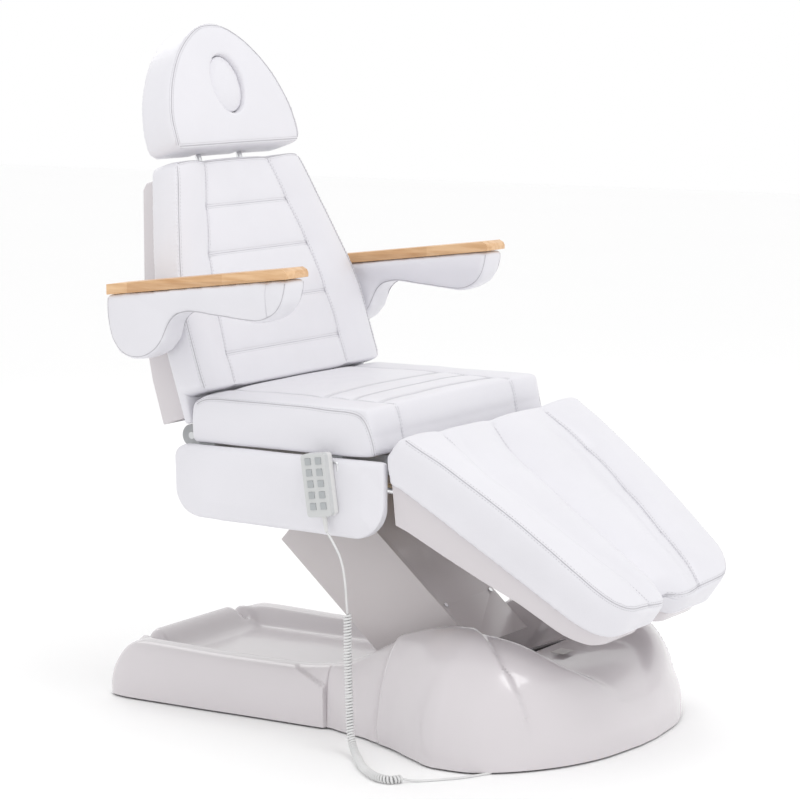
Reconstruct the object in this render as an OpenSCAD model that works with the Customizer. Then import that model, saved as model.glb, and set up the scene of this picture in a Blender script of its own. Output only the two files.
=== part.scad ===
// Electric facial treatment bed: cushioned seat, tilting back, hinged leg rest, folding
// armrests and a sliding headrest, carried by a parallelogram lift on a moulded base.
// +X is across the bed, +Z is up, the head end points to +Y and the foot end to -Y.

/* [Bed] */
// Width of the seat, back and leg cushions
pad_w = 640; // [620:5:650]
// Height of the seat's top face above the floor
seat_z = 640; // [636:1:644]
// Length of the seat cushion
seat_l = 400; // [392:2:404]
// Thickness of the seat foam
seat_thk = 78; // [70:1:80]
// Y of the seat's front edge, which puts the whole bed in the middle of the frame
front_y = -103; // [-108:1:-98]

/* [Back] */
// Lean of the back from the vertical, in degrees
back_lean = 17.5; // [16:0.5:19]
// Length of the back cushion
back_l = 462; // [450:2:466]
// Thickness of the back's foam
back_foam = 58; // [54:1:60]
// Width of the back cushion at its top
back_top_w = 430; // [410:5:450]

/* [Headrest] */
// Width of the headrest
head_w = 434; // [420:2:440]
// Height of the headrest
head_h = 258; // [250:2:262]
// Distance between the two chrome rods
rod_gap = 140; // [130:2:150]
// Diameter of the chrome rods
rod_d = 12; // [10:1:12]

/* [Leg rest] */
// Slope of the leg rest below the horizontal, in degrees
leg_slope = 36.1; // [35:0.1:37]
// Length of the leg rest's top face from its hinge end to the tip of a lobe
leg_l = 487; // [480:1:494]
// Depth of the notch between the two lobes
notch_l = 26; // [20:1:34]

/* [Lift] */
// Slope of the lift arm above the horizontal, in degrees
arm_slope = 41.5; // [41:0.1:42]
// Distance between the lift arm's two pivots
arm_l = 514; // [510:1:518]
// Width of the lift cover
column_w = 198; // [190:2:204]
// Depth of the lift cover, square to the arm
column_d = 176; // [170:2:180]
// Diameter of the lift pivot pins
pin_d = 16; // [14:1:18]
// Radial play of a pin in a moving bore
play = 0.06; // [0.04:0.01:0.09]

/* [Base] */
// Half width of the rear part of the base shell
wing_w = 245; // [240:1:250]
// Half width of the front bulges of the base shell
bulge_w = 376; // [370:1:380]
// Height of the front bulges
bulge_h = 228; // [220:1:232]
// Height of the rear wings
wing_h = 117; // [112:1:120]
// Wall of the moulded shells
wall = 4; // [3:0.5:5]

/* [Armrest] */
// Inner face of an armrest, from the middle of the bed
arm_x = 330; // [328:1:334]
// Width of an armrest
arm_w = 68; // [64:1:72]
// Forward rise of the armrest's wooden cap, in degrees
arm_tilt = 6.8; // [6:0.1:8]

/* [Handset] */
// Width of the handset
hs_w = 54; // [52:1:56]
// Height of the handset
hs_h = 118; // [116:1:120]
// Thickness of the handset
hs_t = 24; // [22:1:26]
// Tilt of the hanging handset, in degrees
hs_tilt = 8; // [6:1:9]
// Outer diameter of the coiled cord
coil_d = 16; // [14:1:18]
// Diameter of the cord itself
cord_d = 4.5; // [4:0.5:5]

/* [Hidden] */
$fn = 48;

white = "#f4f3f1";
shell_white = "#e9e4df";
steel = "#8d9194";
chrome = "#c9ccce";
beech = "#d8b48a";
grey = "#b9bcbd";
black = "#2b2b2c";

eps = 0.2;
board_thk = 12;
seat_bottom = seat_z - seat_thk;
carrier_z = seat_bottom - board_thk;
pin_r = pin_d / 2;

// Frame of the seat: the middle of the seat's front edge, on the floor.
module bed() {
    translate([0, front_y, 0]) children();
}

// Frame of the back: Z runs up the back, -Y is the way it faces.
back_pivot_n = 88;
back_y = seat_l - 24;
lean_s = sin(back_lean);
lean_c = cos(back_lean);
module back() {
    bed() translate([0, back_y, seat_z]) rotate([-back_lean, 0, 0]) children();
}
back_pivot_u = -64;

// Frame of the leg rest: X across, -Y along the leg, Z square to its top face.
leg_top = 112;
leg_pivot_z = seat_z - leg_top;
leg_pivot_y = 13.6;
module leg() {
    bed() translate([0, leg_pivot_y, leg_pivot_z]) rotate([leg_slope, 0, 0]) children();
}

// Frame of the lift arm: Y runs up the arm from its lower pivot.
lift_y = -14;
lift_z = 130;
link_offset = 65;
module arm() {
    bed() translate([0, lift_y, lift_z]) rotate([arm_slope, 0, 0]) children();
}
upper_y = lift_y + arm_l * cos(arm_slope);
upper_z = lift_z + arm_l * sin(arm_slope);

// Offset of the level link's pivots from the lift arm's pivots.
link_y = -link_offset * sin(arm_slope);
link_z = link_offset * cos(arm_slope);

// A cylinder along X, centred on the origin.
module rod_x(d, l) {
    rotate([0, 90, 0]) cylinder(d = d, h = l, center = true);
}

// A profile in Y and Z, given as points, extruded across the bed and rounded at its edges.
module slab_x(points, w, r = 12) {
    rotate([90, 0, 90])
        linear_extrude(w, center = true)
            offset(r) offset(-r) polygon(points);
}

// An outline in X and Z extruded along +Y from y0 for a depth.
module plate_y(y0, depth) {
    translate([0, y0 + depth, 0]) rotate([90, 0, 0]) linear_extrude(depth) children();
}

// ---------------------------------------------------------------- base
// Outline of the base shell: half width against distance from the seat's front edge.
outline = [
    [-424, 30], [-412, 130], [-396, 190], [-372, 245], [-335, 300], [-290, 345],
    [-240, bulge_w - 4], [-180, bulge_w], [-110, bulge_w - 32], [-40, bulge_w - 74],
    [40, bulge_w - 108], [110, wing_w + 2], [160, wing_w - 15], [215, wing_w - 14],
    [320, wing_w - 3], [450, wing_w], [600, wing_w], [660, wing_w - 8], [684, wing_w - 34],
    [694, wing_w - 70]
];
// Height of the ridge that runs down each side of the shell.
ridge = [
    [-424, 4], [-418, 62], [-400, 108], [-370, 150], [-320, 186], [-260, 212],
    [-190, bulge_h - 4], [-130, bulge_h], [-60, bulge_h - 14], [0, bulge_h - 38],
    [60, 150], [120, 122], [200, wing_h - 2], [400, wing_h - 4], [590, wing_h],
    [620, wing_h - 3], [645, 98], [668, 66], [684, 34], [694, 4]
];
// Height of the shell on its middle line: hood in front, tray behind.
middle = [
    [-424, 4], [-418, 58], [-400, 100], [-370, 134], [-320, 158], [-240, 164],
    [-180, 158], [-80, 120], [20, 84], [120, 72], [560, 70], [590, 84], [618, 114],
    [636, 120], [658, 92], [680, 46], [694, 4]
];
// Distance of the ridge from the middle line.
ridge_x = [[-424, 12], [-412, 70], [-380, 130], [-300, 190], [-100, 196], [60, 190], [694, 192]];
shell_y = concat([for (i = [0:8]) -424 + 64 * (1 - cos(i * 90 / 8))],
                 [for (i = [1:22]) -360 + i * 43.2],
                 [for (i = [1:6]) 590.4 + 103.6 * sin(i * 90 / 6)]);
shell_cols = 24;
shell_rim = 4;
function clamp01(v) = min(1, max(0, v));
function smooth(v) = let (c = clamp01(v)) c * c * (3 - 2 * c);
function shell_top(x, y) =
    let (a = abs(x), r = lookup(y, ridge_x), w = lookup(y, outline), h = lookup(y, ridge),
         c = lookup(y, middle), rear = smooth((y - 60) / 90), q = clamp01((a - r) / (w - r)),
         round_fall = pow(1 - pow(q, 2.1), 1 / 2.1), wing_fall = pow(1 - pow(q, 5), 1 / 3))
    a <= r ? c + (h - c) * smooth((a - r + 70) / 70)
           : shell_rim + (h - shell_rim) * (round_fall * (1 - rear) + wing_fall * rear);
shell_mid = 135;
shell_half = 559;
// One skin of the shell, set in by t.
function skin(t) = [
    for (y = shell_y)
        for (j = [0:shell_cols])
            let (s = sin(-90 + 180 * j / shell_cols), w = lookup(y, outline),
                 top = shell_top(s * w, y))
            [s * (w - t), shell_mid + (y - shell_mid) * (1 - t / shell_half),
             max(shell_rim, j == 0 || j == shell_cols ? shell_rim : top - t)]
];
module shell_body(t) {
    rows = len(shell_y);
    n = shell_cols + 1;
    count = rows * n;
    quads = [
        for (i = [0:rows - 2])
            for (j = [0:shell_cols - 1])
                [i * n + j, (i + 1) * n + j, (i + 1) * n + j + 1, i * n + j + 1]
    ];
    faces = concat(
        [for (q = quads) each [[q[0], q[1], q[2]], [q[0], q[2], q[3]]]],
        [for (q = quads) each [[count + q[2], count + q[1], count + q[0]],
                               [count + q[3], count + q[2], count + q[0]]]],
        [for (i = [0:rows - 2]) each
            [[i * n, count + i * n, count + (i + 1) * n], [i * n, count + (i + 1) * n, (i + 1) * n]]],
        [for (i = [0:rows - 2]) let (a = i * n + n - 1, b = a + n) each
            [[a, b, count + b], [a, count + b, count + a]]],
        [for (j = [0:n - 2]) each
            [[j, j + 1, count + j + 1], [j, count + j + 1, count + j]]],
        [for (j = [0:n - 2]) let (a = (rows - 1) * n + j, b = a + 1) each
            [[a, count + a, count + b], [a, count + b, b]]]
    );
    polyhedron(concat(skin(0), skin(t)), faces);
}
column_front = -192;
column_back = 150;
module base_shell() {
    color(shell_white) bed() difference() {
        shell_body(wall + 1);
        translate([-column_w / 2 - 8, column_front, 50])
            cube([column_w + 16, column_back - column_front, 200]);
        translate([0, 660, 45]) cube([52, 120, 34], center = true);
        // Mouse hole for the handset's cord.
        translate([-362, -272, shell_rim]) rotate([0, 90, -28]) cylinder(d = 12, h = 70, center = true);
    }
}

frame_x = 118;
frame_z = 20;
tube_w = 40;
tube_h = 30;
act_drop = 4;
module base_frame() {
    color(steel) bed() {
        for (s = [-1, 1])
            translate([s * frame_x - tube_w / 2, -330, frame_z]) cube([tube_w, 940, tube_h]);
        // The second cross tube is lower, under the lift actuator.
        for (t = [[-300, tube_h], [70, tube_h - act_drop], [300, tube_h], [570, tube_h]])
            translate([-190, t[0], frame_z]) cube([380, tube_w, t[1]]);
        // Two posts that carry the shell.
        for (s = [-1, 1])
            translate([s * 170 - 10, 575, frame_z + tube_h - 1]) cube([20, 30, 25]);
    }
}

feet = [for (x = [-172, 172], y = [-280, 590]) [x, y]];
module levelling_feet() {
    color(black) bed() for (f = feet) translate([f[0], f[1], 0]) {
        cylinder(d = 44, h = 7);
        cylinder(d = 10, h = frame_z);
    }
}
module foot_nuts() {
    color(steel) bed() for (f = feet) translate([f[0], f[1], 9]) difference() {
        cylinder(d = 19, h = 8, $fn = 6);
        translate([0, 0, -1]) cylinder(d = 10.02, h = 10);
    }
}

ear_x = 66;
link_x = 50;
ear_t = 8;
// A pair of ears across the middle, for pivots at the origin and at the link's offset.
module ears() {
    for (s = [-1, 1]) translate([s * ear_x, 0, 0]) rotate([90, 0, 90])
        linear_extrude(ear_t, center = true) difference() {
            union() {
                children();
                circle(d = 44);
                translate([link_y, link_z]) circle(d = 34);
                rotate(90 + atan2(-link_y, link_z)) translate([0, -17]) square([link_offset, 34]);
            }
            circle(d = pin_d);
            translate([link_y, link_z]) circle(d = pin_d);
        }
}
module lift_bracket() {
    color(steel) bed() {
        translate([0, lift_y, lift_z]) ears() translate([-62, 51 - lift_z]) square([94, 80]);
        translate([-130, lift_y - 80, frame_z + tube_h]) cube([260, 110, 6]);
        // Lug for the lift actuator.
        translate([0, lift_act_y, lift_act_z]) lug(frame_z + tube_h - act_drop - lift_act_z, 14);
    }
}
// An upright lug about the origin, down to height low, t thick, with a 10 mm cross bore.
module lug(low, t) {
    rotate([90, 0, 90]) linear_extrude(t, center = true) difference() {
        union() {
            circle(d = 24);
            translate([-12, min(low, 0)]) square([24, abs(low)]);
        }
        circle(d = 10);
    }
}
module base_pins() {
    color(chrome) bed() {
        translate([0, lift_y, lift_z]) rod_x(pin_d, 184);
        for (s = [-1, 1])
            translate([s * 58, lift_y + link_y, lift_z + link_z]) rod_x(pin_d, 32);
        translate([0, lift_act_y, lift_act_z]) rod_x(10, 34);
    }
}
module control_box() {
    color(black) bed() translate([-70, 380, frame_z + 1]) cube([140, 150, 36]);
}
module mains_inlet() {
    color(black) bed() difference() {
        translate([0, 672, 45]) cube([50, 46, 32], center = true);
        translate([0, 690, 45]) cube([26, 28, 18], center = true);
    }
}
module rating_plate() {
    color(grey) bed() translate([-51, -266, 161.9]) rotate([2.4, 0, 0]) cube([40, 26, 0.8]);
}

// ---------------------------------------------------------------- lift
bar_t = 8;
bar_x = 83;
lift_lug = 353;
lift_lug_n = -30;
module lift_arm() {
    color(steel) arm() difference() {
        union() {
            for (s = [-1, 1]) translate([s * bar_x, 0, 0]) {
                rod_x(46, bar_t);
                translate([0, arm_l, 0]) rod_x(46, bar_t);
                translate([-bar_t / 2, 0, -23]) cube([bar_t, arm_l, 46]);
            }
            translate([0, 60, -12]) rod_x(20, 2 * bar_x);
            translate([0, 404, -4]) rod_x(28, 2 * bar_x);
            // Lug for the lift actuator, with its captive pin.
            translate([-8, lift_lug, -42]) cube([16, 404 - lift_lug, 38]);
            translate([0, lift_lug, lift_lug_n]) rod_x(26, 16);
            translate([0, lift_lug, lift_lug_n]) rod_x(10, 21);
        }
        for (y = [0, arm_l]) translate([0, y, 0]) rod_x(pin_d + 2 * play, 200);
    }
}
cover_from = 18;
cover_to = 402;
cover_nose = -42;
module column_cover() {
    color(grey) arm() difference() {
        rotate([90, 0, 90]) linear_extrude(column_w, center = true) polygon([
            [cover_from, -column_d / 2], [cover_to, -column_d / 2], [cover_to, column_d / 2],
            [cover_nose, column_d / 2], [cover_from, -20]
        ]);
        translate([-column_w / 2 + wall, cover_nose - 1, -column_d / 2 + wall])
            cube([column_w - 2 * wall, cover_to - cover_nose + 2, column_d - 2 * wall]);
        // Slot in the rear wall for the actuator, and the screw holes in the front wall.
        translate([-26, cover_from - 1, -column_d / 2 - 1]) cube([52, 250, wall + 2]);
        for (s = [-1, 1]) for (y = [60, 372])
            translate([s * (column_w / 2 - 14), y, column_d / 2 - wall - 1]) cylinder(d = 4, h = 10);
    }
}
module cover_screws() {
    color(chrome) arm() for (s = [-1, 1]) for (y = [60, 372])
        translate([s * (column_w / 2 - 14), y, column_d / 2 - wall - 2]) {
            cylinder(d = 4, h = wall + 2);
            translate([0, 0, wall + 2]) cylinder(d = 9, h = 2.4);
        }
}
module level_link() {
    color(steel) bed() translate([0, lift_y + link_y, lift_z + link_z])
        rotate([arm_slope, 0, 0]) difference() {
            union() {
                for (s = [-1, 1], y = [0, arm_l]) translate([s * link_x, y, 0]) rod_x(34, 12);
                for (s = [-1, 1]) translate([s * link_x - 6, 0, -12]) cube([12, arm_l, 24]);
            }
            rod_x(pin_d + 2 * play, 120);
            translate([0, arm_l, 0]) rod_x(pin_d + 1, 120);
        }
}

// An actuator's housing from the origin along +Y, with a mounting fork behind it.
module actuator_body(l, d = 40) {
    difference() {
        union() {
            translate([0, 36, 0]) rotate([-90, 0, 0]) cylinder(d = d, h = l - 36);
            translate([-15, -12, -12]) cube([30, 60, 24]);
            translate([-d / 2, 44, 6]) cube([d, 74, 40]);
        }
        rod_x(10.1, 60);
        translate([-8, -13, -13]) cube([16, 32, 26]);
        translate([0, 60, 0]) rotate([-90, 0, 0]) cylinder(d = 20.1, h = l);
    }
}
// The rod of an actuator from y0 to y1, with a fork at its end.
module actuator_rod(y0, y1) {
    translate([0, y0, 0]) rotate([-90, 0, 0]) cylinder(d = 20, h = y1 - y0 - 34);
    translate([-17, y1 - 40, -17]) cube([34, 10, 34]);
    for (s = [-1, 1]) translate([s * 14 - 3, y1 - 34, -17]) cube([6, 50, 34]);
}

lift_act_y = 90;
lift_act_z = 64;
arm_lug_y = lift_y + lift_lug * cos(arm_slope) - lift_lug_n * sin(arm_slope);
arm_lug_z = lift_z + lift_lug * sin(arm_slope) + lift_lug_n * cos(arm_slope);
lift_act_l = norm([arm_lug_y - lift_act_y, arm_lug_z - lift_act_z]);
lift_act_a = atan2(arm_lug_z - lift_act_z, arm_lug_y - lift_act_y);
module lift_actuator_body() {
    color(black) bed() translate([0, lift_act_y, lift_act_z]) rotate([lift_act_a, 0, 0])
        actuator_body(210);
}
module lift_actuator_rod() {
    color(chrome) bed() translate([0, lift_act_y, lift_act_z]) rotate([lift_act_a, 0, 0])
        actuator_rod(90, lift_act_l);
}

// ---------------------------------------------------------------- seat
rail_x = 250;
rail_w = 30;
rail_h = 38;
tube_x = 215;
back_pivot_y = back_y + back_pivot_u * lean_s + back_pivot_n * lean_c;
back_pivot_z = seat_z + back_pivot_u * lean_c - back_pivot_n * lean_s;
hinge_d = 14;
act_x = 125;
leg_act_y = 365;
leg_act_z = 485;
back_act_y = 75;
back_act_z = 472;
cross_z = carrier_z - 26;
module seat_carrier() {
    color(steel) bed() difference() {
        union() {
            for (s = [-1, 1]) translate([s * rail_x - rail_w / 2, 0, 0]) {
                translate([0, -4, carrier_z - rail_h]) cube([rail_w, 436, rail_h]);
                translate([rail_w / 2, back_pivot_y, back_pivot_z]) rod_x(44, rail_w);
            }
            for (y = [60, 352]) translate([-313, y, cross_z]) cube([626, 36, 26]);
            translate([0, upper_y, upper_z]) ears() translate([-18, 30]) square([36, 34]);
            translate([-act_x, leg_act_y, leg_act_z]) lug(cross_z - leg_act_z + 1, 14);
            translate([act_x, back_act_y, back_act_z]) lug(cross_z - back_act_z + 1, 14);
        }
        for (s = [-1, 1]) {
            translate([s * rail_x, back_pivot_y, back_pivot_z]) rod_x(hinge_d, 50);
            translate([s * rail_x, leg_pivot_y, leg_pivot_z]) rod_x(hinge_d, 50);
        }
    }
}
module carrier_pins() {
    color(chrome) bed() {
        for (s = [-1, 1]) {
            translate([s * 76, upper_y, upper_z]) rod_x(pin_d, 30);
            translate([s * 58, upper_y + link_y, upper_z + link_z]) rod_x(pin_d, 32);
            translate([s * 234, back_pivot_y, back_pivot_z]) rod_x(hinge_d, 64);
            translate([s * 234, leg_pivot_y, leg_pivot_z]) rod_x(hinge_d, 64);
        }
        translate([-act_x, leg_act_y, leg_act_z]) rod_x(10, 34);
        translate([act_x, back_act_y, back_act_z]) rod_x(10, 34);
    }
}
module seat_board() {
    color(beech) bed() translate([-300, 8, carrier_z]) cube([600, 384, board_thk]);
}
module seat_cushion() {
    color(white) bed() difference() {
        slab_x([
            [0, carrier_z + eps], [seat_l, carrier_z + eps], [seat_l, seat_z - 14],
            [seat_l - 24, seat_z], [0, seat_z]
        ], pad_w, 10);
        // Pocket for the board.
        translate([-302, 6, carrier_z - 1]) cube([604, 388, board_thk + 1 + eps]);
    }
}
apron_in = 313;
apron_t = 22;
module apron() {
    intersection() {
        slab_x([[-42, 398], [434, 407], [434, 640], [-42, 640]], apron_t, 50);
        translate([-50, -100, 300]) cube([100, 700, carrier_z - 2 - 300]);
    }
}
module apron_left() {
    color(white) bed() translate([apron_in + apron_t / 2, 0, 0]) apron();
}
module apron_right() {
    color(white) bed() translate([-apron_in - apron_t / 2, 0, 0]) apron();
}
// Levers of the leg rest and of the back, from their hinge to the actuator's pin.
leg_lever = [-20, -75];
back_lever = [30, -105];
leg_lug_y = leg_pivot_y + leg_lever[0];
leg_lug_z = leg_pivot_z + leg_lever[1];
leg_act_l = norm([leg_act_y - leg_lug_y, leg_act_z - leg_lug_z]);
leg_act_a = atan2(leg_act_z - leg_lug_z, leg_act_y - leg_lug_y);
back_lug_y = back_pivot_y + back_lever[0];
back_lug_z = back_pivot_z + back_lever[1];
back_act_l = norm([back_lug_y - back_act_y, back_lug_z - back_act_z]);
back_act_a = atan2(back_lug_z - back_act_z, back_lug_y - back_act_y);
module leg_actuator() {
    bed() translate([-act_x, leg_act_y, leg_act_z]) rotate([leg_act_a, 0, 0])
        mirror([0, 1, 0]) mirror([0, 0, 1]) children();
}
module back_actuator() {
    bed() translate([act_x, back_act_y, back_act_z]) rotate([back_act_a, 0, 0])
        mirror([0, 0, 1]) children();
}
module leg_actuator_body() {
    color(black) leg_actuator() actuator_body(250);
}
module leg_actuator_rod() {
    color(chrome) leg_actuator() actuator_rod(100, leg_act_l);
}
module back_actuator_body() {
    color(black) back_actuator() actuator_body(226);
}
module back_actuator_rod() {
    color(chrome) back_actuator() actuator_rod(190, back_act_l);
}
// A lever plate between two points, with the captive pin at its end.
module lever(from, to) {
    rotate([90, 0, 90]) linear_extrude(14, center = true) {
        translate(to) circle(d = 24);
        translate(from) rotate(atan2(to[1] - from[1], to[0] - from[0]))
            translate([0, -10]) square([norm(to - from), 20]);
    }
    translate([0, to[0], to[1]]) rod_x(10, 20);
}

// ---------------------------------------------------------------- back
// Outline of the back in X and Z, set in by t: straight below, tapered above.
back_bend = 165;
flap_h = 44;
flap_n = 46;
module back_outline(t, low = 6) {
    offset(24 - min(t, 20)) offset(-24) polygon([
        [-pad_w / 2 + max(0, t - 20), low], [pad_w / 2 - max(0, t - 20), low],
        [pad_w / 2 - max(0, t - 20), back_bend], [pad_w / 2 - 18 - max(0, t - 20), back_bend + 70],
        [back_top_w / 2 - max(0, t - 20), back_l], [-back_top_w / 2 + max(0, t - 20), back_l],
        [-pad_w / 2 + 18 + max(0, t - 20), back_bend + 70], [-pad_w / 2 + max(0, t - 20), back_bend]
    ]);
}
rod_n = 44;
rod_low = 290;
frame_top = 316;
pin_reach = 48;
arm_pivot_u = 159.4;
arm_pivot_n = 84;
arm_pin_d = 16;
module back_frame() {
    color(steel) {
        back() difference() {
            union() {
                for (s = [-1, 1]) translate([s * tube_x, back_pivot_n, 0]) {
                    translate([-10, -12, back_pivot_u]) cube([20, 24, frame_top - back_pivot_u]);
                    translate([0, 0, back_pivot_u]) rod_x(32, 20);
                }
                for (u = [-12, frame_top - 24]) translate([-tube_x, back_pivot_n - 12, u])
                    cube([2 * tube_x, 24, 24]);
                translate([0, arm_pivot_n, arm_pivot_u]) rod_x(22, 2 * arm_x - 16);
                translate([0, arm_pivot_n, arm_pivot_u]) rod_x(arm_pin_d, 2 * (arm_x + pin_reach));
            }
            translate([0, back_pivot_n, back_pivot_u]) rod_x(hinge_d + 2 * play, 500);
        }
        bed() translate([act_x, back_pivot_y, back_pivot_z]) lever([14, 42], back_lever);
    }
}
module back_board() {
    color(beech) back() difference() {
        plate_y(back_foam, board_thk) back_outline(34, 20);
        for (s = [-1, 1]) translate([s * 120, back_foam - 1, 300]) rotate([-90, 0, 0]) cylinder(d = 6, h = 20);
    }
}
module back_cushion() {
    color(white) back() difference() {
        union() {
            plate_y(0, back_foam - eps) back_outline(0);
            // The lower edge that hangs behind the seat.
            translate([-pad_w / 2 + 2, flap_n, -flap_h]) cube([pad_w - 4, back_foam - eps - flap_n, flap_h + 30]);
        }
        // Channels for the headrest's rods and their guides.
        for (s = [-1, 1]) translate([s * rod_gap / 2, rod_n, rod_low - 12]) {
            cylinder(d = 22, h = 300);
            translate([-11, 0, 0]) cube([22, 30, 300]);
        }
    }
}
// Side profile of the back shell set in by t, open for a distance beyond its front and foot.
module shell_profile(t, beyond) {
    polygon([
        [74 - beyond, -48 - beyond], [74 - beyond, 444 - t], [96 - t, 444 - t], [106 - t, 430 - t],
        [108 - t, 250], [130 - t, 60], [132 - t, -48 - beyond]
    ]);
}
module back_shell() {
    color(shell_white) back() difference() {
        intersection() {
            rotate([90, 0, 90]) linear_extrude(pad_w, center = true) shell_profile(0, 0);
            plate_y(0, 200) back_outline(34, -50);
        }
        intersection() {
            rotate([90, 0, 90]) linear_extrude(pad_w, center = true) shell_profile(wall, 40);
            plate_y(0, 200) back_outline(34 + wall, -120);
        }
        translate([0, arm_pivot_n, arm_pivot_u]) rod_x(26, 700);
    }
}
module rod_guides() {
    color(steel) back() for (s = [-1, 1]) translate([s * rod_gap / 2, rod_n, 330]) difference() {
        union() {
            cylinder(d = 16, h = back_l - 2 - 330);
            translate([-5, 0, 0]) cube([10, back_foam - rod_n, back_l - 20 - 330]);
        }
        translate([0, 0, -1]) cylinder(d = rod_d + 2 * play, h = 200);
    }
}

// ---------------------------------------------------------------- headrest
head_gap = 16;
head_u = back_l + head_gap;
head_n = -20;
head_rod = rod_n - head_n;
head_foam = 44;
head_thk = 76;
function head_x(v) = head_w / 2 * pow(max(0, 1 - pow(max(0, v - 44) / (head_h - 44), 1.65)), 1 / 1.8);
function head_side() = [for (i = [0:18]) let (v = 44 + (head_h - 44) * sin(i * 5)) [head_x(v), v]];
module head_outline(t) {
    k = 1 - 2 * t / head_w;
    translate([0, t]) scale([k, k]) offset(22) offset(-22)
        polygon(concat([[head_w / 2, 0]], head_side(), [for (i = [17:-1:0]) [-head_side()[i][0], head_side()[i][1]]],
                       [[-head_w / 2, 0]]));
}
module head() {
    back() translate([0, head_n, head_u]) children();
}
plug_u = 129;
plug_w = 102;
plug_h = 116;
module plug_outline(t) {
    translate([0, plug_u]) scale([1, plug_h / plug_w]) circle(d = plug_w + 2 * t, $fn = 64);
}
module headrest_rods() {
    color(chrome) back() for (s = [-1, 1])
        translate([s * rod_gap / 2, rod_n, rod_low]) cylinder(d = rod_d, h = head_u + 64 - rod_low);
}
module rod_clamps() {
    color(steel) head() for (s = [-1, 1]) translate([s * rod_gap / 2, 0, 22]) difference() {
        translate([-13, head_foam + board_thk, 0]) cube([26, 16, 36]);
        translate([0, head_rod, -1]) cylinder(d = rod_d, h = 40);
    }
}
module headrest_board() {
    color(beech) head() difference() {
        plate_y(head_foam, board_thk) head_outline(20);
        plate_y(head_foam - 1, board_thk + 2) plug_outline(3);
    }
}
module headrest_cushion() {
    color(white) head() difference() {
        plate_y(0, head_thk) head_outline(0);
        plate_y(head_foam - eps, board_thk + 2 * eps) head_outline(19);
        plate_y(-1, head_thk + 2) plug_outline(1);
        for (s = [-1, 1]) translate([s * rod_gap / 2 - 14, head_foam + board_thk, -1]) cube([28, 17, 70]);
    }
}
module face_plug() {
    color(white) head() plate_y(2, head_thk - 12) plug_outline(0);
}

// ---------------------------------------------------------------- leg rest
leg_side = 330;
leg_taper = 0.1696;
lobe_r = 98;
notch_r = 66;
leg_tip = -(58 + leg_l);
leg_rear = -36;
lobe_y = leg_tip + lobe_r;
lobe_x = leg_side - leg_taper * (leg_rear - lobe_y) - lobe_r;
module leg_plan(t) {
    for (s = [-1, 1]) hull() {
        translate([s * lobe_x, lobe_y]) circle(lobe_r - t, $fn = 64);
        translate([s * (notch_r + 2), leg_tip + notch_r]) circle(notch_r - t, $fn = 48);
        translate([s * leg_side / 2 - leg_side / 2 + t, leg_rear - 4]) square([leg_side - 2 * t, 20]);
    }
    // The middle, cut back to the bottom of the notch.
    translate([-notch_r - 2, leg_tip + notch_l + t]) square([2 * (notch_r + 2), leg_l]);
}
module leg_cut(t) {
    translate([0, 0, -200]) linear_extrude(400) leg_plan(t);
}
// Where the cushion sits on its shell, from the hinge end to the tip.
leg_seam = [[-64, 22], [-90, 27], [-268, 32], [-452, 36], [-520, 36], [-537, 38], [-546, 46]];
module leg_cushion() {
    color(white) leg() intersection() {
        slab_x(concat([[-30, 60], [-63, 22]], leg_seam, [[-546, 96], [-538, leg_top], [-38, leg_top],
                       [-30, 100]]), 700, 3);
        leg_cut(0);
    }
}
// How far the shell stops short of the cushion at the tip.
shell_short = 6;
shell_line = [[-554, 42], [-537, 14], [-518, 5], [-474, 1], [-380, -5], [-300, -17], [-217, -27], [-138, -35],
              [-112, -40]];
module leg_shell() {
    color(shell_white) leg() difference() {
        intersection() {
            slab_x(concat([for (p = leg_seam) [p[0], p[1] - 0.5]], shell_line), 700, 1);
            translate([0, shell_short, 0]) leg_cut(9);
        }
        intersection() {
            rotate([90, 0, 90]) linear_extrude(700, center = true) offset(delta = -wall)
                polygon(concat([[-66, 19], [-66, 120], [-556, 120]], shell_line));
            translate([0, shell_short, 0]) leg_cut(9 + wall);
        }
        // Openings in the rear wall for the frame's two tubes and its lever.
        for (s = [-1, 1]) translate([s * tube_x - 14, -130, -20]) cube([28, 110, 90]);
        translate([-act_x - 24, -130, -60]) cube([48, 110, 130]);
    }
}
leg_tube_n = -8;
leg_tube_l = 290;
module leg_frame() {
    color(steel) {
        leg() difference() {
            union() {
                for (s = [-1, 1]) translate([s * tube_x - 10, 0, 0]) {
                    translate([0, -leg_tube_l, leg_tube_n]) cube([20, leg_tube_l, 20]);
                    translate([10, 0, 0]) rod_x(32, 20);
                }
                translate([-tube_x, -62, leg_tube_n]) cube([2 * tube_x, 22, 20]);
                translate([-tube_x, -112, leg_tube_n]) cube([2 * tube_x, 20, 27]);
                translate([-tube_x, -leg_tube_l, leg_tube_n]) cube([2 * tube_x, 22, 32]);
                // Plate under the cushion.
                slab_x([[-94, 17], [-450, 28], [-450, 35.5], [-94, 25.5]], 470, 0.5);
            }
            rod_x(hinge_d + 2 * play, 500);
        }
        bed() translate([-act_x, leg_pivot_y, leg_pivot_z]) lever([-44, -28], leg_lever);
    }
}

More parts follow.
